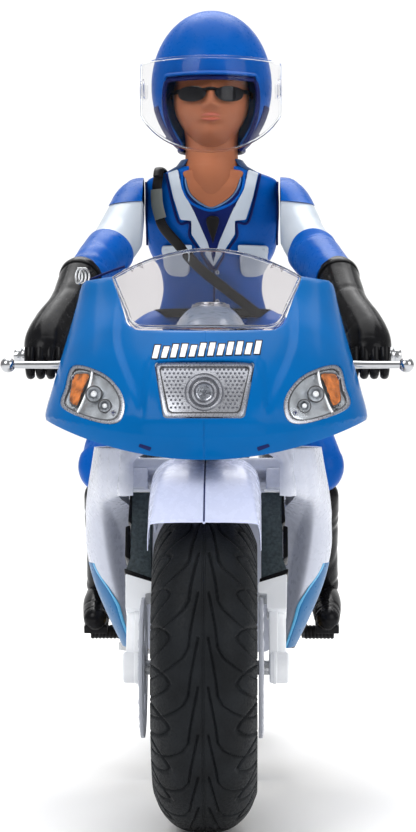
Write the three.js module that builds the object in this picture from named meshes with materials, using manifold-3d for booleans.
// A toy police motorcycle with a seated rider and a clockwork drive unit, in millimetres.
// +Z is up, the motorcycle faces -Y, and +X is its left side. The origin is on the ground, midway between the
// axles. Each function makes one kind of sub-part, and the assembly is at the end.
import * as THREE from "three";
import { mergeVertices } from "three/addons/utils/BufferGeometryUtils.js";
import Module from "manifold-3d";

const wasm = await Module();
wasm.setup();

// ---- driving dimensions ----
const WHEEL_RADIUS = 45;
const WHEELBASE = 200;
const TYRE_WIDTH = 28.8;
const TYRE_FACETS = 32;
const RIM_RADIUS = 30;
const AXLE_RADIUS = 2;
const GAP = 0.3; // between pieces that touch
const RAKE = THREE.MathUtils.degToRad(24);
const STEM_OFFSET = 8; // steering axis behind the fork legs
const DISC_RADIUS = 19.4;
const GRIP = { y: -72, z: 132, radius: 2.3, inner: 33, outer: 53.5 };
const LEVER = { y: -83.5, z: 129.2, radius: 1.15, end: 56.5, ball: 2.2 };
const SHOULDER = { x: 22, y: 12, z: 185 };
const NECK = { y: 6, bottom: 194.4, radius: 8.4 };
const VISOR_PIVOT = { y: -2, z: 217 };
const KNEE = { x: 34.5, y: -8, z: 97.8, radius: 7.4 };
const PEG = { y: 22, z: 44.5, radius: 2, inner: 30, outer: 39.5 };
const DRIVE_WHEEL_RADIUS = 12;
const GEAR_MODULE = 1.2;
const GREAT_TEETH = 24;
const SECOND_TEETH = 16;
const PINION_TEETH = 8;

const FRONT_AXLE = { y: -WHEELBASE / 2, z: WHEEL_RADIUS };
const REAR_AXLE = { y: WHEELBASE / 2, z: WHEEL_RADIUS };
const STEM_SHIFT = STEM_OFFSET / Math.cos(RAKE);

// ---- materials ----
const plastic = (color, roughness = 0.35) =>
  new THREE.MeshStandardMaterial({ color, roughness, metalness: 0 });
const metal = (color, roughness = 0.3) =>
  new THREE.MeshStandardMaterial({ color, roughness, metalness: 0.9 });
const clear = () =>
  new THREE.MeshStandardMaterial({ color: 0xe8f2f8, roughness: 0.05, transparent: true, opacity: 0.35 });

const WHITE = 0xdfe2ec;
const FAIRING_BLUE = 0x0a78c8;
const ROYAL_BLUE = 0x0a3fc4;
const SLATE = 0x3a444c;
const BLACK = 0x141416;
const SILVER = 0xb9bfc4;

// ---- solids ----
const v3 = (x, y, z) => new THREE.Vector3(x, y, z);

// A closed geometry from points and triangles, with its faces turned outwards.
function closed(points, triangles) {
  const geometry = new THREE.BufferGeometry().setFromPoints(points);
  let volume = 0;
  for (let i = 0; i < triangles.length; i += 3) {
    const [a, b, c] = [points[triangles[i]], points[triangles[i + 1]], points[triangles[i + 2]]];
    volume += a.dot(b.clone().cross(c));
  }
  geometry.setIndex(volume < 0 ? triangles.slice().reverse() : triangles);
  return geometry;
}

// Rings of equal length, joined one to the next, with a fan over each end.
function loft(rings) {
  const count = rings[0].length;
  const points = rings.flat();
  const triangles = [];
  for (let k = 0; k + 1 < rings.length; k++)
    for (let j = 0; j < count; j++) {
      const a = k * count + j;
      const b = k * count + ((j + 1) % count);
      triangles.push(a, b, a + count, b, b + count, a + count);
    }
  for (const k of [0, rings.length - 1]) {
    const centre = rings[k].reduce((sum, p) => sum.add(p), v3(0, 0, 0)).divideScalar(count);
    const hub = points.push(centre) - 1;
    for (let j = 0; j < count; j++) {
      const a = k * count + j;
      const b = k * count + ((j + 1) % count);
      triangles.push(...(k === 0 ? [b, a, hub] : [a, b, hub]));
    }
  }
  return closed(points, triangles);
}

// The points of a grid, moved against the grid's normal by a distance.
function setBack(grid, distance) {
  const rows = grid.length;
  const columns = grid[0].length;
  const at = (i, j) => grid[Math.max(0, Math.min(rows - 1, i))][Math.max(0, Math.min(columns - 1, j))];
  return grid.map((row, i) =>
    row.map((p, j) => {
      const along = at(i + 1, j).clone().sub(at(i - 1, j));
      const across = at(i, j + 1).clone().sub(at(i, j - 1));
      return p.clone().addScaledVector(along.cross(across).normalize(), -distance);
    }),
  );
}

// A wall of even thickness behind a grid of points, its outer face set back from them by a depth.
function shell(grid, thickness, depth = 0) {
  const rows = grid.length;
  const columns = grid[0].length;
  const outer = setBack(grid, depth).flat();
  const inner = setBack(grid, depth + thickness).flat();
  const size = outer.length;
  const triangles = [];
  const quad = (a, b, c, d) => triangles.push(a, b, c, a, c, d);
  for (let i = 0; i + 1 < rows; i++)
    for (let j = 0; j + 1 < columns; j++) {
      const a = i * columns + j;
      quad(a, a + columns, a + columns + 1, a + 1);
      quad(size + a, size + a + 1, size + a + columns + 1, size + a + columns);
    }
  for (let j = 0; j + 1 < columns; j++) {
    const last = (rows - 1) * columns + j;
    quad(j, j + 1, size + j + 1, size + j);
    quad(last + 1, last, size + last, size + last + 1);
  }
  for (let i = 0; i + 1 < rows; i++) {
    const a = i * columns;
    const b = a + columns - 1;
    quad(a + columns, a, size + a, size + a + columns);
    quad(b, b + columns, size + b + columns, size + b);
  }
  return closed([...outer, ...inner], triangles);
}

function manifold(geometry) {
  const bare = geometry.index ? geometry.toNonIndexed() : geometry.clone();
  bare.deleteAttribute("normal");
  bare.deleteAttribute("uv");
  const merged = mergeVertices(bare, 1e-4);
  const vertProperties = merged.attributes.position.array;
  const triVerts = new Uint32Array(merged.index.array);
  return new wasm.Manifold(new wasm.Mesh({ numProp: 3, vertProperties, triVerts }));
}

function geometryOf(solid) {
  const mesh = solid.getMesh();
  const geometry = new THREE.BufferGeometry();
  geometry.setAttribute("position", new THREE.BufferAttribute(mesh.vertProperties, 3));
  return geometry.setIndex(new THREE.BufferAttribute(mesh.triVerts, 1));
}

const join = (...parts) => geometryOf(parts.map(manifold).reduce((a, b) => a.add(b)));
const cut = (body, ...tools) =>
  geometryOf(tools.map(manifold).reduce((a, b) => a.subtract(b), manifold(body)));
const common = (a, b) => geometryOf(manifold(a).intersect(manifold(b)));

function mirrored(geometry) {
  const copy = geometry.index ? geometry.toNonIndexed() : geometry.clone();
  copy.applyMatrix4(new THREE.Matrix4().makeScale(-1, 1, 1));
  const p = copy.attributes.position;
  for (let i = 0; i < p.count; i += 3) {
    const [a, b] = [v3().fromBufferAttribute(p, i), v3().fromBufferAttribute(p, i + 1)];
    p.setXYZ(i, b.x, b.y, b.z);
    p.setXYZ(i + 1, a.x, a.y, a.z);
  }
  return copy;
}

// A box between two corners.
function box(low, high) {
  const [a, b] = [v3(...low), v3(...high)];
  const size = b.clone().sub(a);
  const centre = a.clone().add(b).divideScalar(2);
  return new THREE.BoxGeometry(size.x, size.y, size.z).translate(centre.x, centre.y, centre.z);
}

// A straight round bar between two points, tapered when the radii differ.
function bar(from, to, radius, endRadius = radius, sides = 16) {
  const [a, b] = [v3(...from), v3(...to)];
  const along = b.clone().sub(a);
  const geometry = new THREE.CylinderGeometry(endRadius, radius, along.length(), sides);
  geometry.applyQuaternion(new THREE.Quaternion().setFromUnitVectors(v3(0, 1, 0), along.clone().normalize()));
  const middle = a.add(b).divideScalar(2);
  return geometry.translate(middle.x, middle.y, middle.z);
}

const ball = (centre, radius, sides = 14) =>
  new THREE.SphereGeometry(radius, sides, Math.round(sides / 2)).translate(...centre);

// A solid turned about the X axis. The profile holds [radius, x] points and starts and ends on the axis,
// or closes on itself. Half a segment of turn puts a flat facet at the bottom.
function turned(profile, segments) {
  const points = profile.map(([radius, x]) => new THREE.Vector2(radius, x));
  const lathe = new THREE.LatheGeometry(points, segments, Math.PI / segments);
  lathe.rotateZ(-Math.PI / 2);
  const flat = mergeVertices(stripped(lathe), 1e-4);
  const corners = [];
  for (let i = 0; i < flat.attributes.position.count; i++)
    corners.push(v3().fromBufferAttribute(flat.attributes.position, i));
  return closed(corners, Array.from(flat.index.array).filter(keepTriangle(flat.index.array)));
}

function stripped(geometry) {
  geometry.deleteAttribute("normal");
  geometry.deleteAttribute("uv");
  return geometry;
}

// Drops the triangles that collapse to a line where a profile meets the axis.
function keepTriangle(index) {
  return (_, n) => {
    const first = n - (n % 3);
    const [a, b, c] = [index[first], index[first + 1], index[first + 2]];
    return a !== b && b !== c && c !== a;
  };
}

// An outline in the XZ plane, pushed through along Y from one depth to the other.
function pushedAlongY(outline, fromY, toY) {
  const shape = new THREE.Shape(outline.map(([x, z]) => new THREE.Vector2(x, z)));
  const geometry = new THREE.ExtrudeGeometry(shape, { depth: toY - fromY, bevelEnabled: false });
  return geometry.rotateX(Math.PI / 2).translate(0, toY, 0);
}

// An outline in the YZ plane, pushed through along X from one side to the other.
function pushedAlongX(outline, fromX, toX) {
  const shape = new THREE.Shape(outline.map(([y, z]) => new THREE.Vector2(y, z)));
  const geometry = new THREE.ExtrudeGeometry(shape, { depth: toX - fromX, bevelEnabled: false });
  return geometry.rotateX(Math.PI / 2).rotateZ(Math.PI / 2).translate(fromX, 0, 0);
}

// A level ellipse of points round a centre.
function ring(centre, halfWidth, halfDepth, sides = 16) {
  const points = [];
  for (let k = 0; k < sides; k++) {
    const turn = (k / sides) * 2 * Math.PI;
    const across = halfWidth * Math.cos(turn);
    const along = halfDepth * Math.sin(turn);
    points.push(v3(centre[0] + across, centre[1] + along, centre[2]));
  }
  return points;
}

// A limb with round ends, lofted through [x, y, z, radius] stations.
function limb(stations, sides = 10) {
  const points = stations.map(([x, y, z]) => v3(x, y, z));
  const last = points.length - 1;
  const rings = [];
  const addRing = (centre, tangent, radius) => {
    const aside = v3(1, 0, 0).addScaledVector(tangent, -tangent.x).normalize();
    const above = tangent.clone().cross(aside);
    const corner = (turn) =>
      centre
        .clone()
        .addScaledVector(aside, radius * Math.cos(turn))
        .addScaledVector(above, radius * Math.sin(turn));
    rings.push(Array.from({ length: sides }, (_, k) => corner((k / sides) * 2 * Math.PI)));
  };
  points.forEach((point, k) => {
    const tangent = points[Math.min(last, k + 1)].clone().sub(points[Math.max(0, k - 1)]).normalize();
    const radius = stations[k][3];
    const capRing = (out, share) =>
      addRing(point.clone().addScaledVector(tangent, out * radius), tangent, share * radius);
    if (k === 0) [[-0.92, 0.38], [-0.62, 0.78]].forEach(([out, share]) => capRing(out, share));
    addRing(point, tangent, radius);
    if (k === last) [[0.62, 0.78], [0.92, 0.38]].forEach(([out, share]) => capRing(out, share));
  });
  return loft(rings);
}

// A smooth curve through rows of [position, value, value, ...]: returns the values at a position.
function through(rows) {
  const slope = (k, n) => {
    if (k === 0 || k === rows.length - 1) return secant(Math.min(k, rows.length - 2), n);
    return (rows[k + 1][n] - rows[k - 1][n]) / (rows[k + 1][0] - rows[k - 1][0]);
  };
  const secant = (k, n) => (rows[k + 1][n] - rows[k][n]) / (rows[k + 1][0] - rows[k][0]);
  return (position) => {
    let k = 0;
    while (k < rows.length - 2 && position > rows[k + 1][0]) k++;
    const span = rows[k + 1][0] - rows[k][0];
    const t = Math.max(0, Math.min(1, (position - rows[k][0]) / span));
    const [h1, h2] = [t * t * (3 - 2 * t), t * (1 - t) * (1 - t)];
    const h3 = -t * t * (1 - t);
    return rows[k].slice(1).map((value, m) => {
      const n = m + 1;
      return value * (1 - h1) + rows[k + 1][n] * h1 + span * (slope(k, n) * h2 + slope(k + 1, n) * h3);
    });
  };
}

// ---- nose fairing and windscreen ----
// Each row is a height, then the half width, the depth of the nose and the depth of the side edge there.
const fairingRow = through([
  [103, 43, -129, -99],
  [109, 44.6, -131, -96],
  [115, 45, -130, -93],
  [122, 43.4, -126.5, -90],
  [130, 41.4, -120.5, -86],
  [138, 39.4, -112, -81],
  [146, 37.6, -102, -76],
  [154, 36, -92, -71],
  [164, 33, -79.5, -64],
]);

// The fairing and the windscreen share one swept surface: its depth at a point of the front view.
function noseDepth(x, z) {
  const [halfWidth, nose, side] = fairingRow(z);
  const reach = Math.min(1, Math.abs(x) / halfWidth);
  return nose + (side - nose) * (1 - Math.sqrt(1 - reach * reach));
}

const LIP = { centre: 103, crease: 109, tip: 114.7, tuck: 4 };
const SCREEN = { bottom: 138.2, top: 162.8, drop: 8.2, halfBottom: 22.6, halfTop: 27.3 };
const FAIRING_TOP = 153.6;

function fairingGrid(columns, rows) {
  const grid = [];
  for (let j = 0; j <= columns; j++) {
    const across = Math.sin(((j / columns) * 2 - 1) * Math.PI * 0.49);
    const rise = across * across;
    const crease = LIP.crease + (LIP.tip - LIP.crease) * rise;
    const lip = LIP.centre + (LIP.tip - 1 - LIP.centre) * rise;
    const column = [];
    const x0 = across * fairingRow(crease)[0];
    column.push(v3(x0, noseDepth(x0, crease) + LIP.tuck * (1 - rise), lip));
    for (let i = 0; i <= rows; i++) {
      const z = crease + (FAIRING_TOP - crease) * (i / rows);
      const x = across * fairingRow(z)[0];
      column.push(v3(x, noseDepth(x, z), z));
    }
    grid.push(column);
  }
  return grid;
}

// The windscreen's outline in the front view, widened by a margin all round.
function screenOutline(margin) {
  const outline = [];
  const [bottom, halfBottom] = [SCREEN.bottom - margin, SCREEN.halfBottom + margin];
  for (const [side, from] of [[1, -90], [-1, 180]]) {
    for (let k = 0; k <= 3; k++) {
      const turn = THREE.MathUtils.degToRad(from + (side > 0 ? k * 27 : 9 + k * 27));
      outline.push([side * (halfBottom - 5) + 5 * Math.cos(turn), bottom + 5 + 5 * Math.sin(turn)]);
    }
    if (side > 0)
      for (let k = 0; k <= 8; k++) {
        const s = 1 - k / 4;
        outline.push([s * (SCREEN.halfTop + margin), SCREEN.top + 4 - SCREEN.drop * s * s]);
      }
  }
  return outline;
}

const GRILLE = { top: 129.2, bottom: 114.4, halfTop: 13.4, halfBottom: 10.6 };
const grilleOutline = (margin) => [
  [GRILLE.halfTop + margin, GRILLE.top + margin],
  [-GRILLE.halfTop - margin, GRILLE.top + margin],
  [-GRILLE.halfBottom - margin, GRILLE.bottom - margin],
  [GRILLE.halfBottom + margin, GRILLE.bottom - margin],
];

// The leaf shape of a side headlamp in the front view, as a smooth closed curve.
const LEAF = [
  [36.6, 128.7],
  [28.6, 126.9],
  [23.4, 122.7],
  [21.2, 117.5],
  [23.1, 112.9],
  [30, 113.3],
  [39.4, 117.2],
  [38.8, 122.5],
];
function leafOutline(scale, count = 14) {
  const curve = new THREE.SplineCurve([...LEAF, LEAF[0]].map(([x, z]) => new THREE.Vector2(x, z)));
  const [cx, cz] = [30.5, 120];
  const scaled = (p) => [cx + (p.x - cx) * scale, cz + (p.y - cz) * scale];
  return curve.getPoints(count).slice(0, count).map(scaled);
}

const FRONT = -140;
const BACK = -60;
const leafCutter = (scale) => pushedAlongY(leafOutline(scale), FRONT, BACK);

function noseFairing() {
  const skin = shell(fairingGrid(16, 6), 2);
  const leaf = leafCutter(1);
  const screen = pushedAlongY(screenOutline(0), FRONT, BACK);
  const grille = pushedAlongY(grilleOutline(0), FRONT, BACK);
  return cut(skin, screen, grille, leaf, mirrored(leaf));
}

function windscreen() {
  const grid = [];
  for (let j = 0; j <= 10; j++) {
    const s = (j / 10) * 2 - 1;
    const column = [];
    for (let i = 0; i <= 4; i++) {
      const t = i / 4;
      const top = SCREEN.top - SCREEN.drop * s * s;
      const x = s * (SCREEN.halfBottom - 0.6 + (SCREEN.halfTop - SCREEN.halfBottom) * t);
      const z = SCREEN.bottom + 0.8 + (top - SCREEN.bottom - 0.8) * t;
      column.push(v3(x, noseDepth(x, z), z));
    }
    grid.push(column);
  }
  return common(shell(grid, 1.3), pushedAlongY(screenOutline(-GAP), FRONT, BACK));
}

// A slab that follows the nose surface inside an outline, its front set back from it by a depth.
function noseSlab(outline, depth, thickness, low, high, halfWidth, centreX = 0) {
  const [columns, rows] = [8, 4];
  const grid = [];
  for (let j = 0; j <= columns; j++) {
    const column = [];
    for (let i = 0; i <= rows; i++) {
      const x = centreX + halfWidth * ((j / columns) * 2 - 1);
      const z = low + (high - low) * (i / rows);
      column.push(v3(x, noseDepth(x, z), z));
    }
    grid.push(column);
  }
  return common(shell(grid, thickness, depth), pushedAlongY(outline, FRONT, BACK));
}

const LAMP = { z: 121, radius: 4.2 };
const grillePanel = () =>
  cut(
    noseSlab(grilleOutline(-GAP), 0.8, 2, 113, 131, 15),
    bar([0, FRONT, LAMP.z], [0, BACK, LAMP.z], LAMP.radius + GAP, LAMP.radius + GAP, 20),
  );
const headlampTray = () => noseSlab(leafOutline(0.94), 1.9, 1.4, 110, 131, 10.5, 30.5);
const headlampLens = () => noseSlab(leafOutline(0.94), 0.3, 1.1, 110, 131, 10.5, 30.5);

// The lamp sits in the round hole of the grille panel and faces straight forward.
function centreLamp() {
  const front = noseDepth(0, LAMP.z) - 2;
  const back = front + 6;
  const { radius } = LAMP;
  const rim = front + 1.4;
  const profile = [[0, front], [1.9, front + 0.5], [3, rim], [radius, rim], [radius, back], [0, back]];
  return turned(profile, 20).rotateZ(Math.PI / 2).translate(0, 0, LAMP.z);
}

// ---- side panels ----
// Each row is a height, then [x, y] of five stations from the rear edge round to the inner front edge.
const panelRow = through([
  [46, 19, -28, 21, -34, 25, -42, 22.6, -50, 20.6, -47],
  [56, 19, -20, 22, -28, 29.6, -43, 26, -55, 23.4, -50],
  [66, 18, 2, 22, -18, 33.4, -44, 28.6, -58, 25, -51],
  [76, 17, 24, 22, -16, 35.4, -46, 30.4, -60, 26, -52],
  [84, 16, 30, 21.6, -16, 35.2, -48, 31.4, -63, 26.5, -56],
  [92, 15, 30, 21.2, -16, 34.2, -53, 31.4, -74, 25, -81],
  [99, 15, 28, 20.8, -18, 32.8, -57, 30.8, -80, 24.6, -87],
  [106, 15, 24, 20.4, -20, 31.6, -60, 29.8, -83, 24.6, -90],
]);

function panelGrid(low, high, rows, columns) {
  const grid = [];
  for (let i = 0; i <= rows; i++) {
    const z = low + (high - low) * (i / rows);
    const values = panelRow(z);
    const stations = [];
    for (let k = 0; k < values.length; k += 2) stations.push(v3(values[k], values[k + 1], z));
    const curve = new THREE.CatmullRomCurve3(stations, false, "centripetal");
    grid.push(curve.getPoints(columns));
  }
  return grid;
}

// The panel carries a flat wing that closes the front above the fork cover.
function sidePanel() {
  const wing = box([20.3, -92.6, 92], [27.5, -90.6, 106]);
  const rib = box([23.8, -91, 101.5], [26, -86.5, 106]);
  return join(shell(panelGrid(46, 105, 8, 10), 1.8), wing, rib);
}

// The blue strip lies on the outside of the panel, from its front rim back along its lower edge.
function lowerTrim() {
  const thickness = 0.9;
  const strip = panelGrid(46, 70, 4, 10).map((row) => row.slice(2, 8));
  return shell(strip, thickness, -thickness - GAP);
}

function frontBulkhead() {
  const leftEdge = [[18, 44.5], [22.6, 62], [23.6, 78], [22, 98]];
  const rightEdge = leftEdge.map(([x, z]) => [-x, z]).reverse();
  return pushedAlongY([...leftEdge, ...rightEdge], -48.5, -46.5);
}

// ---- frame, seat and tail ----
const stemPoint = (z) => [0, FRONT_AXLE.y + STEM_SHIFT + (z - FRONT_AXLE.z) * Math.tan(RAKE), z];

function frame() {
  const beamTop = [[-60, 109], [-52, 117], [40, 118], [112, 126]];
  const beamUnder = [[112, 120], [52, 108], [48, 62], [-44, 62], [-44, 106]];
  const spine = pushedAlongX([...beamTop, ...beamUnder], -6, 6);
  const block = box([-12, -40, 64], [12, 34, 104]);
  const headTube = bar(stemPoint(107), stemPoint(132), 7, 7, 12);
  const noseStay = box([-5, -124, 108.6], [5, -60, 113]);
  const pieces = [spine, block, headTube, noseStay];
  pieces.push(bar([-21.5, 50, 62], [21.5, 50, 62], 3, 3, 12));
  pieces.push(box([-14, 22, 62], [14, 34, 70]));
  for (const side of [-1, 1]) {
    const pegEnd = [side * PEG.outer, PEG.y, PEG.z];
    pieces.push(bar([side * 12, 27, 66], [side * PEG.inner, PEG.y, PEG.z], 2.2, 2.2, 8));
    pieces.push(bar([side * (PEG.inner - 1), PEG.y, PEG.z], pegEnd, PEG.radius, PEG.radius, 8));
  }
  return cut(join(...pieces), bar(stemPoint(104), stemPoint(136), 4.6, 4.6, 12));
}

// A body along Y from sections of [y, half width, bottom, top], each a rounded arch.
function archedBody(sections, fullness = 2.6, sides = 18) {
  const rings = sections.map(([y, halfWidth, bottom, top]) => {
    const [middle, half] = [(bottom + top) / 2, (top - bottom) / 2];
    const points = [];
    for (let k = 0; k < sides; k++) {
      const turn = ((k + 0.5) / sides) * 2 * Math.PI;
      const [c, s] = [Math.cos(turn), Math.sin(turn)];
      const soften = (value) => Math.sign(value) * Math.abs(value) ** (2 / fullness);
      points.push(v3(halfWidth * soften(c), y, middle + half * soften(s)));
    }
    return points;
  });
  return loft(rings);
}

// The tank and the tail straddle the frame's top beam.
const beamChannel = (top) => box([-6 - GAP, -80, 90], [6 + GAP, 140, top]);

function fuelTank() {
  const sections = [
    [-48, 9, 107, 130],
    [-40, 16, 107, 141],
    [-27, 19.5, 107, 148.5],
    [-12, 18.5, 107, 150.8],
    [4, 12.6, 107.5, 147],
    [17, 8, 110, 139],
  ];
  const headTube = bar(stemPoint(100), stemPoint(140), 7 + 2 * GAP, 7 + 2 * GAP, 12);
  return cut(archedBody(sections), beamChannel(118.6), headTube);
}

function seat() {
  const sections = [
    [33, 6, 120.5, 123.4],
    [41, 10, 120.5, 127],
    [50, 12.5, 121, 129.8],
    [55, 12, 121.5, 130],
  ];
  return archedBody(sections, 3.2, 16);
}

function tailCowl() {
  const sections = [
    [56, 13, 116, 139],
    [66, 15, 117, 146],
    [90, 13.5, 121, 147.5],
    [118, 9.5, 130, 148],
    [134, 6, 138, 147.5],
  ];
  return cut(archedBody(sections, 3), beamChannel(126.6));
}

function tailLamp() {
  return archedBody([[134.5, 5, 139, 146.5], [138.5, 4.2, 139.6, 146], [140.5, 2.6, 140.6, 145]], 3, 12);
}

function swingarm() {
  const under = [[44, 56.5], [58, 54], [100, 40.5], [107, 42.5]];
  const over = [[107, 48], [100, 50.5], [60, 66], [46, 68]];
  const arm = pushedAlongX([...under, ...over], 16.5, 20.5);
  const tie = box([-20.5, 52.5, 59.5], [20.5, 56.4, 64.5]);
  const across = (y, z, radius) => bar([-30, y, z], [30, y, z], radius);
  const bore = across(REAR_AXLE.y, REAR_AXLE.z, AXLE_RADIUS + GAP);
  const pivot = across(50, 62, 3 + GAP);
  return cut(join(arm, mirrored(arm), tie), bore, pivot);
}

function exhaust() {
  const pipe = bar([-16, 35, 82], [-23.5, 64, 79], 3, 3.4, 10);
  const can = bar([-23, 62, 78.8], [-27, 122, 90], 5.4, 6.2, 14);
  const mouth = bar([-26.5, 114, 88.6], [-27.6, 130, 91.6], 4.6, 4.6, 10);
  const hanger = bar([-24, 84, 84], [-15.2, 84, 126], 1.6, 1.6, 8);
  return cut(join(pipe, can, hanger), mouth);
}

// ---- wheels ----
function tyre(width) {
  const half = width / 2;
  const grow = 1 / Math.cos(Math.PI / TYRE_FACETS); // keeps the flats of the facets at the wheel's radius
  const tread = [[0, 4.5], [2.2, 9], [6.5, 12.9], [11, half], [14.5, half - 2.2]];
  const profile = tread.map(([drop, x]) => [(WHEEL_RADIUS - drop) * grow, x]);
  const outside = [...profile.map(([r, x]) => [r, -x]).reverse(), ...profile];
  const seatRadius = (RIM_RADIUS + GAP) * grow;
  const ringProfile = [...outside, [seatRadius, half - 2.6], [seatRadius, 2.6 - half]];
  return turned([...ringProfile, ringProfile[0]], TYRE_FACETS);
}

// A ring about the X axis between two radii, from one side to the other.
function sleeve(inner, outer, fromX, toX, segments) {
  return turned([[inner, fromX], [outer, fromX], [outer, toX], [inner, toX], [inner, fromX]], segments);
}

// A cast rim with five spokes: the barrel, the hub and the spokes in one piece.
function rim(width, hubHalf) {
  const half = width / 2 - 3;
  const wall = RIM_RADIUS - 3;
  const barrel = sleeve(wall, RIM_RADIUS, -half, half, 28);
  const hub = sleeve(AXLE_RADIUS + GAP, 7, -hubHalf, hubHalf, 16);
  const spokes = [];
  for (let k = 0; k < 5; k++) {
    const spoke = box([-3.5, -3, 6], [3.5, 3, wall + 1]);
    spokes.push(spoke.rotateX((k / 5) * 2 * Math.PI));
  }
  return join(barrel, hub, ...spokes);
}

// A brake disc on the outside of the hub.
function brakeDisc(side) {
  const disc = sleeve(AXLE_RADIUS + GAP, DISC_RADIUS, 14.9, 16.1, 28);
  return side > 0 ? disc : mirrored(disc);
}

const axle = (half) => bar([-half, 0, 0], [half, 0, 0], AXLE_RADIUS);

// ---- fork: modelled upright, with the front axle at the origin, then leaned back by the rake ----
function forkLeg() {
  const boss = bar([17.6, 0, 0], [23, 0, 0], 5.2, 5.2, 20);
  const column = box([17.4, -3, 1], [22, 3, 19]);
  const block = box([16.6, -4.6, 16], [23, 4.6, 25]);
  const bore = bar([10, 0, 0], [30, 0, 0], AXLE_RADIUS + GAP);
  return cut(join(boss, column, block), bore);
}

function forkCover() {
  const outline = [[16.6, 25.4], [23, 25.4], [21.6, 31], [21.6, 50.6], [16.6, 50.6]];
  return pushedAlongY(outline, -3.6, 3.6);
}

function forkYoke() {
  const crown = box([-22.5, -5, 57.4], [22.5, STEM_OFFSET + 6, 61.4]);
  const cheek = box([16.8, -5, 50.9], [22.5, 5, 58]);
  const stem = bar([0, STEM_OFFSET, 61], [0, STEM_OFFSET, 93], 4);
  return join(crown, cheek, mirrored(cheek), stem);
}

// The fender follows the tyre from an angle ahead of the axle to one behind it. Each row is an angle above
// the forward horizontal, then the radius and the half width of the flat top there.
const fenderRow = through([
  [54, 51, 14.6],
  [66, 55, 12.6],
  [80, 57, 10.4],
  [92, 57.3, 9.6],
  [110, 56.4, 9.6],
  [126, 54.4, 10.4],
]);
const FENDER_HALF_WIDTH = 15.3;

// Half a section of the fender: places across it with how far each lies below the top.
function fenderSection(flat) {
  const flare = FENDER_HALF_WIDTH - flat;
  return [
    [0, 0],
    [flat * 0.6, 0.15],
    [flat - 0.5, 0.6],
    [flat + flare * 0.35, 1.9],
    [flat + flare * 0.78, 4.6],
    [FENDER_HALF_WIDTH, 10],
  ];
}

function frontFender() {
  const steps = 7;
  const grid = [];
  for (let i = 0; i <= steps; i++) {
    const degrees = 54 + (i / steps) * 72;
    const angle = THREE.MathUtils.degToRad(degrees);
    const [radius, flat] = fenderRow(degrees);
    const half = fenderSection(flat);
    const across = [...half.slice(1).reverse(), ...half.map(([x, drop]) => [-x, drop])];
    const place = ([x, drop]) => v3(x, -(radius - drop) * Math.cos(angle), (radius - drop) * Math.sin(angle));
    grid.push(across.map(place));
  }
  return shell(grid, 1.3);
}

// ---- handlebars and levers ----
function handlebar() {
  const grip = bar([GRIP.inner, GRIP.y, GRIP.z], [GRIP.outer, GRIP.y, GRIP.z], GRIP.radius, GRIP.radius, 12);
  const root = bar([8.5, -58, 126], [GRIP.inner + 1, GRIP.y, GRIP.z], 2, 2, 8);
  return join(grip, root, ball([GRIP.outer, GRIP.y, GRIP.z], 2.6, 10));
}

function lever() {
  const rod = bar([33, LEVER.y, LEVER.z], [LEVER.end, LEVER.y, LEVER.z], LEVER.radius, LEVER.radius, 8);
  const perch = box([33, LEVER.y - 1, LEVER.z - 1], [36, GRIP.y - GRIP.radius - GAP, LEVER.z + 2.6]);
  return join(rod, perch, ball([LEVER.end, LEVER.y, LEVER.z], LEVER.ball, 10));
}

// ---- clockwork ----
// A gear outline with straight-sided teeth, a little slimmer than the gaps so that pairs turn freely.
function gearOutline(teeth, phase) {
  const pitch = (teeth * GEAR_MODULE) / 2;
  const step = (2 * Math.PI) / teeth;
  const corners = [[-0.29, -0.95], [-0.13, 0.8], [0.13, 0.8], [0.29, -0.95]];
  const outline = [];
  for (let k = 0; k < teeth; k++)
    for (const [turn, rise] of corners) {
      const angle = (k + phase + turn) * step;
      const radius = pitch + rise * GEAR_MODULE;
      outline.push([radius * Math.cos(angle), radius * Math.sin(angle)]);
    }
  return outline;
}

const gear = (teeth, phase, fromX, toX) => pushedAlongX(gearOutline(teeth, phase), fromX, toX);

const DRIVE = { y: 0, z: DRIVE_WHEEL_RADIUS };
const SECOND = shaftBeyond(DRIVE, (SECOND_TEETH + PINION_TEETH) * GEAR_MODULE * 0.5, 124);
const ARBOR = shaftBeyond(SECOND, (GREAT_TEETH + PINION_TEETH) * GEAR_MODULE * 0.5, 78);

// The shaft a given distance away, at an angle above the rearward horizontal.
function shaftBeyond(from, distance, degrees) {
  const angle = THREE.MathUtils.degToRad(degrees);
  return { y: from.y + distance * Math.cos(angle), z: from.z + distance * Math.sin(angle), angle };
}

// The phase that puts a tooth, or with half a tooth added a gap, at an angle.
const toothAt = (teeth, angle) => (angle / (2 * Math.PI)) * teeth;

const MOTOR_PLATE = { inner: 8, outer: 9.2 };
const motorOutline = [[-19, 36], [-10, 14], [0, 5.5], [10, 14], [16, 36], [14, 60.5], [-17, 60.5]];

function motorPlate(side) {
  const { inner, outer } = MOTOR_PLATE;
  const [low, high] = side > 0 ? [inner, outer] : [-outer, -inner];
  const hole = (shaft, radius) =>
    bar([low - 1, shaft.y, shaft.z], [high + 1, shaft.y, shaft.z], radius, radius, 12);
  const plate = pushedAlongX(motorOutline, low, high);
  const drilled = cut(plate, hole(DRIVE, 1.5 + GAP), hole(SECOND, 1.1 + GAP), hole(ARBOR, 2 + GAP));
  if (side < 0) return drilled;
  const pillar = (y) => bar([high - 1, y, 57], [-MOTOR_PLATE.inner + GAP, y, 57], 1.5, 1.5, 8);
  return join(drilled, pillar(-13.5), pillar(10.5));
}

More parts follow.
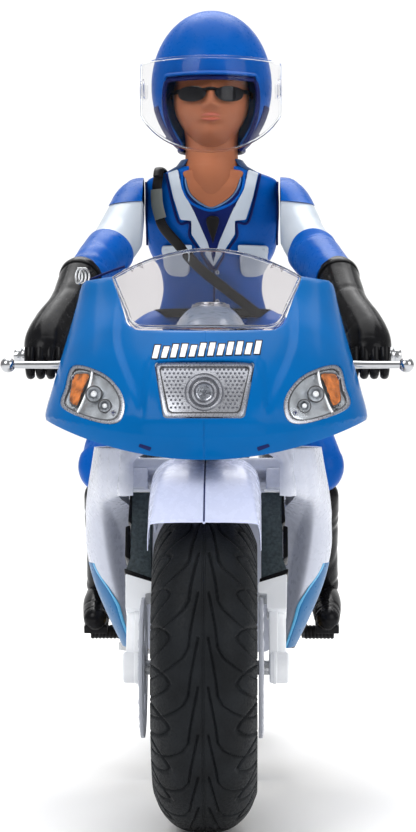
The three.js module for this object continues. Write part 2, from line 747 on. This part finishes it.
function windingKey() {
  const arbor = bar([-19, 0, 0], [9.2, 0, 0], 2, 2, 12);
  const shank = bar([-22, 0, 0], [-17, 0, 0], 3, 3, 10);
  const web = box([-24, -3, -1.1], [-20, 3, 1.1]);
  const disc = (y, radius, half, sides) => bar([-24, y, -half], [-24, y, half], radius, radius, sides);
  const key = join(arbor, shank, web, disc(5.6, 5, 1.1, 14), disc(-5.6, 5, 1.1, 14));
  return cut(key, disc(6, 2.2, 3, 8), disc(-6, 2.2, 3, 8));
}

// The mainspring is a strip wound round the arbor from the hub outwards.
function mainspring() {
  const [turns, inner, outer, strip] = [4, 2.9, 11.6, 0.6];
  const steps = 44;
  const edge = (offset) =>
    Array.from({ length: steps + 1 }, (_, k) => {
      const angle = (k / steps) * turns * 2 * Math.PI;
      const radius = inner + ((outer - inner) * k) / steps + offset;
      return [radius * Math.cos(angle), radius * Math.sin(angle)];
    });
  return pushedAlongX([...edge(0), ...edge(strip).reverse()], -7, -2.2);
}

function greatWheel() {
  const wheel = gear(GREAT_TEETH, 0.5 + toothAt(GREAT_TEETH, ARBOR.angle + Math.PI), -1, 1);
  const bore = bar([-4, 0, 0], [4, 0, 0], 2 + GAP);
  const windows = [];
  for (let k = 0; k < 3; k++) {
    const turn = ((k + 0.5) / 3) * 2 * Math.PI;
    const [y, z] = [7.8 * Math.cos(turn), 7.8 * Math.sin(turn)];
    windows.push(bar([-4, y, z], [4, y, z], 3, 3, 8));
  }
  return cut(wheel, bore, ...windows);
}

function secondWheel() {
  const pinion = gear(PINION_TEETH, toothAt(PINION_TEETH, ARBOR.angle), -1.6, 3.2);
  const wheel = gear(SECOND_TEETH, 0.5 + toothAt(SECOND_TEETH, SECOND.angle + Math.PI), 3, 5);
  return join(pinion, wheel, bar([-9.2, 0, 0], [9.2, 0, 0], 1.1, 1.1, 12));
}

function driveAxle() {
  const shaft = bar([-14.2, 0, 0], [14.2, 0, 0], 1.5, 1.5, 14);
  return join(shaft, gear(PINION_TEETH, toothAt(PINION_TEETH, SECOND.angle), 2.8, 5.2));
}

function driveWheel(side) {
  const grow = 1 / Math.cos(Math.PI / 32); // keeps the flats of the facets at the wheel's radius
  const wheel = sleeve(1.5 + GAP, DRIVE_WHEEL_RADIUS * grow, 10, 13.8, 32);
  return side > 0 ? wheel : mirrored(wheel);
}

// ---- side stand: folded back along the belly ----
const STAND = { x: 22.5, y: -14, z: 47, length: 44 };
function sideStand() {
  const knuckle = bar([-2.4, 0, 0], [2.4, 0, 0], 3, 3, 14);
  const leg = bar([0, 0, 0], [1.5, STAND.length - 4, -6], 1.5, 1.3, 10);
  const foot = box([-1.8, STAND.length - 6, -8], [4.6, STAND.length, -5.8]);
  return join(knuckle, leg, foot);
}

// ---- rider ----
function riderTorso() {
  const sections = [
    [147, 20, 10.5, 33],
    [151, 18.6, 10.6, 31],
    [156, 17.6, 11, 28],
    [168, 19.5, 12, 21],
    [179, 21, 11.5, 15],
    [187, 21.2, 10.4, 11.5],
    [190.4, 20, 9.4, 10.4],
    [192.2, 15.5, 8.8, 9.2],
    [194, 10.4, 8.4, 7.5],
  ];
  return loft(sections.map(([z, halfWidth, halfDepth, y]) => ring([0, y, z], halfWidth, halfDepth, 20)));
}

function riderLegs() {
  const thigh = limb([[10, 41, 140, 9], [20, 28, 136.6, 9.6], [KNEE.x, KNEE.y, KNEE.z, KNEE.radius]], 12);
  const sections = [[131.4, 9, 7, 41], [134, 14, 10, 40], [140, 17, 11, 38], [146.6, 17, 10.5, 34.5]];
  const pelvis = loft(sections.map(([z, halfWidth, halfDepth, y]) => ring([0, y, z], halfWidth, halfDepth)));
  return common(join(pelvis, thigh, mirrored(thigh)), box([-50, -50, 60], [50, 80, 146.6]));
}

// A knee-high boot: the shaft from under the knee to the ankle, and the foot with its toe down on the peg.
function boot() {
  const shaft = limb([[35, -2, 90, 6.2], [35.4, 8, 78.5, 6], [35.8, 19, 66, 5], [36.2, 24, 60, 4.8]], 10);
  const foot = limb([[36.2, 27, 57, 4.6], [36.8, 15, 53.6, 4.8], [37, 5, 50.6, 4.2]], 10);
  const peg = bar([20, PEG.y, PEG.z], [50, PEG.y, PEG.z], PEG.radius + GAP, PEG.radius + GAP, 12);
  const leg = limb([[20, 28, 136.6, 10], [KNEE.x, KNEE.y, KNEE.z, KNEE.radius + 2 * GAP]], 12);
  return cut(join(shaft, foot), leg, peg);
}

// The upper and lower arm, cut flat where it meets the torso.
const ARM = [
  [24, 12, 184, 7.2],
  [25.6, 6, 180.5, 7.6],
  [29.6, -10, 169.5, 7.4],
  [34.6, -26, 161.5, 6.8],
  [40, -44, 154.5, 6],
];
function arm() {
  const sleeve = limb(ARM);
  return common(sleeve, box([SHOULDER.x, -60, 120], [70, 40, 210]));
}

// The glove drops over the grip: its slot runs from the grip down and back, so that the hand lifts clear.
function glove() {
  const cuff = bar([40.6, -46, 153.4], [43.4, -57, 145.4], 6.6, 6, 10);
  const palm = limb([[43.4, -57, 145.4, 5.9], [46, -69, 137.2, 5.4]]);
  const fingers = box([40, -77.6, 125], [52.4, -66, 138.5]);
  const slot = pushedAlongX(slotOutline(), 30, 60);
  const sleeveEnd = limb(ARM.slice(3).map(([x, y, z, r]) => [x, y, z, r + GAP]));
  return cut(join(cuff, palm, fingers), slot, sleeveEnd);
}

function slotOutline() {
  const radius = GRIP.radius + 0.45;
  const lift = Math.atan2(SHOULDER.y - GRIP.y, SHOULDER.z - GRIP.z);
  const [dy, dz] = [Math.cos(lift), -Math.sin(lift)];
  const outline = [];
  for (let k = 0; k <= 8; k++) {
    const turn = (k / 8) * Math.PI - lift - Math.PI / 2 + Math.PI;
    outline.push([GRIP.y + radius * Math.cos(turn), GRIP.z + radius * Math.sin(turn)]);
  }
  outline.reverse();
  const [first, last] = [outline[0], outline[outline.length - 1]];
  outline.push([last[0] + dy * 24, last[1] + dz * 24]);
  outline.push([first[0] + dy * 24 + dz * 2, first[1] + dz * 24 - dy * 2]);
  return outline;
}

// A round body with its own half sizes along X, Y and Z, its pole upright.
function ellipsoid(centre, halfSizes, sides) {
  const round = new THREE.SphereGeometry(1, sides, Math.round(sides * 0.4) + 4).rotateX(Math.PI / 2);
  return round.scale(...halfSizes).translate(...centre);
}

// The head and neck, an egg on a round stem.
function riderHead() {
  const egg = ellipsoid([0, 0.5, 215.5], [12, 14, 16.5], 14);
  return join(egg, bar([0, NECK.y, NECK.bottom], [0, NECK.y, 207], NECK.radius, NECK.radius, 14));
}

// The helmet: a dome open at the face and below, with a hollow for the head.
function helmet() {
  const dome = ellipsoid([0, 5.5, 219.7], [19.2, 21.5, 24], 18);
  const hollow = ellipsoid([0, 1.5, 215.4], [13.6, 16.4, 19.5], 12);
  const face = box([-13.4, -40, 190], [13.4, 0, 220]);
  const under = box([-30, -40, 180], [30, 40, 199]);
  const collar = bar([0, NECK.y, 190], [0, NECK.y, 210], NECK.radius + 1.2, NECK.radius + 1.2, 14);
  return cut(dome, hollow, face, under, collar);
}

// The visor turns about its two pivots, so each upright line of it keeps one distance from their axis.
const VISOR = { halfWidth: 23.6, radius: 28.4, top: 224.4, wall: 1 };
function visor() {
  const grid = [];
  for (let j = 0; j <= 12; j++) {
    const across = THREE.MathUtils.degToRad(((j / 12) * 2 - 1) * 66);
    const radial = VISOR.radius * Math.cos(across);
    const drop = radial * Math.sin(THREE.MathUtils.degToRad(47));
    const column = [];
    for (let i = 0; i <= 5; i++) {
      const rise = -drop + (VISOR.top - VISOR_PIVOT.z + drop) * (i / 5);
      const y = VISOR_PIVOT.y - Math.sqrt(radial * radial - rise * rise);
      column.push(v3(VISOR.halfWidth * Math.sin(across), y, VISOR_PIVOT.z + rise));
    }
    grid.push(column);
  }
  const lens = shell(grid, VISOR.wall);
  const { y, z } = VISOR_PIVOT;
  const ear = box([19.6, y - 12.5, z - 3], [21.6, y + 3, z + 3]);
  return join(lens, ear, mirrored(ear));
}

// ---- assembly ----
const toy = new THREE.Group();

function add(group, name, geometry, material) {
  const mesh = new THREE.Mesh(geometry, material);
  mesh.name = name;
  group.add(mesh);
}

// Adds a left piece, on +X, and its mirror image.
function addPair(group, name, geometry, material) {
  add(group, name + "_left", geometry, material);
  add(group, name + "_right", mirrored(geometry), material.clone());
}

function placed(y, z) {
  const group = new THREE.Group();
  group.position.set(0, y, z);
  toy.add(group);
  return group;
}

add(toy, "frame", frame(), plastic(SLATE, 0.5));
add(toy, "front_bulkhead", frontBulkhead(), plastic(WHITE));
addPair(toy, "side_panel", sidePanel(), plastic(WHITE));
addPair(toy, "lower_trim", lowerTrim(), plastic(FAIRING_BLUE));
add(toy, "nose_fairing", noseFairing(), plastic(FAIRING_BLUE, 0.25));
add(toy, "windshield", windscreen(), clear());
add(toy, "grille_panel", grillePanel(), metal(SILVER));
add(toy, "center_lamp", centreLamp(), clear());
addPair(toy, "headlamp_tray", headlampTray(), metal(SILVER));
addPair(toy, "headlamp_lens", headlampLens(), clear());
add(toy, "fuel_tank", fuelTank(), plastic(WHITE));
add(toy, "seat", seat(), plastic(BLACK, 0.6));
add(toy, "tail_cowl", tailCowl(), plastic(WHITE));
add(toy, "tail_lamp", tailLamp(), plastic(0xb01818, 0.15));
add(toy, "swingarm", swingarm(), plastic(SILVER));
add(toy, "exhaust", exhaust(), metal(SILVER));
addPair(toy, "handlebar", handlebar(), plastic(BLACK));
addPair(toy, "lever", lever(), metal(SILVER));

const rearWheel = placed(REAR_AXLE.y, REAR_AXLE.z);
add(rearWheel, "rear_axle", axle(23), metal(SILVER));
add(rearWheel, "rear_tyre", tyre(TYRE_WIDTH), plastic(BLACK, 0.7));
add(rearWheel, "rear_rim", rim(TYRE_WIDTH, 14), plastic(SILVER));

const frontWheel = placed(FRONT_AXLE.y, FRONT_AXLE.z);
add(frontWheel, "front_axle", axle(22.8), metal(SILVER));
add(frontWheel, "front_tyre", tyre(TYRE_WIDTH), plastic(BLACK, 0.7));
add(frontWheel, "front_rim", rim(TYRE_WIDTH, 14), plastic(SILVER));
add(frontWheel, "brake_disc_left", brakeDisc(1), metal(SILVER));
add(frontWheel, "brake_disc_right", brakeDisc(-1), metal(SILVER));
add(frontWheel, "front_fender", frontFender(), plastic(WHITE));

const fork = placed(FRONT_AXLE.y, FRONT_AXLE.z);
fork.rotation.x = -RAKE;
addPair(fork, "fork_leg", forkLeg(), plastic(SILVER));
addPair(fork, "fork_cover", forkCover(), plastic(SLATE));
add(fork, "fork_yoke", forkYoke(), plastic(WHITE));

add(toy, "motor_plate_left", motorPlate(1), metal(0xb08d57));
add(toy, "motor_plate_right", motorPlate(-1), metal(0xb08d57));
const arborShaft = placed(ARBOR.y, ARBOR.z);
add(arborShaft, "winding_key", windingKey(), metal(SILVER));
add(arborShaft, "mainspring", mainspring(), metal(0x6d7278));
add(arborShaft, "great_wheel", greatWheel(), metal(0xc8a040));
add(placed(SECOND.y, SECOND.z), "second_wheel", secondWheel(), metal(0xc8a040));
const driveShaft = placed(DRIVE.y, DRIVE.z);
add(driveShaft, "drive_axle", driveAxle(), metal(SILVER));
add(driveShaft, "drive_wheel_left", driveWheel(1), plastic(BLACK, 0.8));
add(driveShaft, "drive_wheel_right", driveWheel(-1), plastic(BLACK, 0.8));

const stand = placed(STAND.y, STAND.z);
stand.position.x = STAND.x;
add(stand, "side_stand", sideStand(), plastic(BLACK));

add(toy, "rider_torso", riderTorso(), plastic(ROYAL_BLUE));
add(toy, "rider_legs", riderLegs(), plastic(ROYAL_BLUE));
addPair(toy, "boot", boot(), plastic(BLACK));
addPair(toy, "arm", arm(), plastic(WHITE));
addPair(toy, "glove", glove(), plastic(BLACK));
add(toy, "rider_head", riderHead(), plastic(0xc08060, 0.5));
add(toy, "helmet", helmet(), plastic(ROYAL_BLUE, 0.25));
add(toy, "visor", visor(), clear());

export default toy;
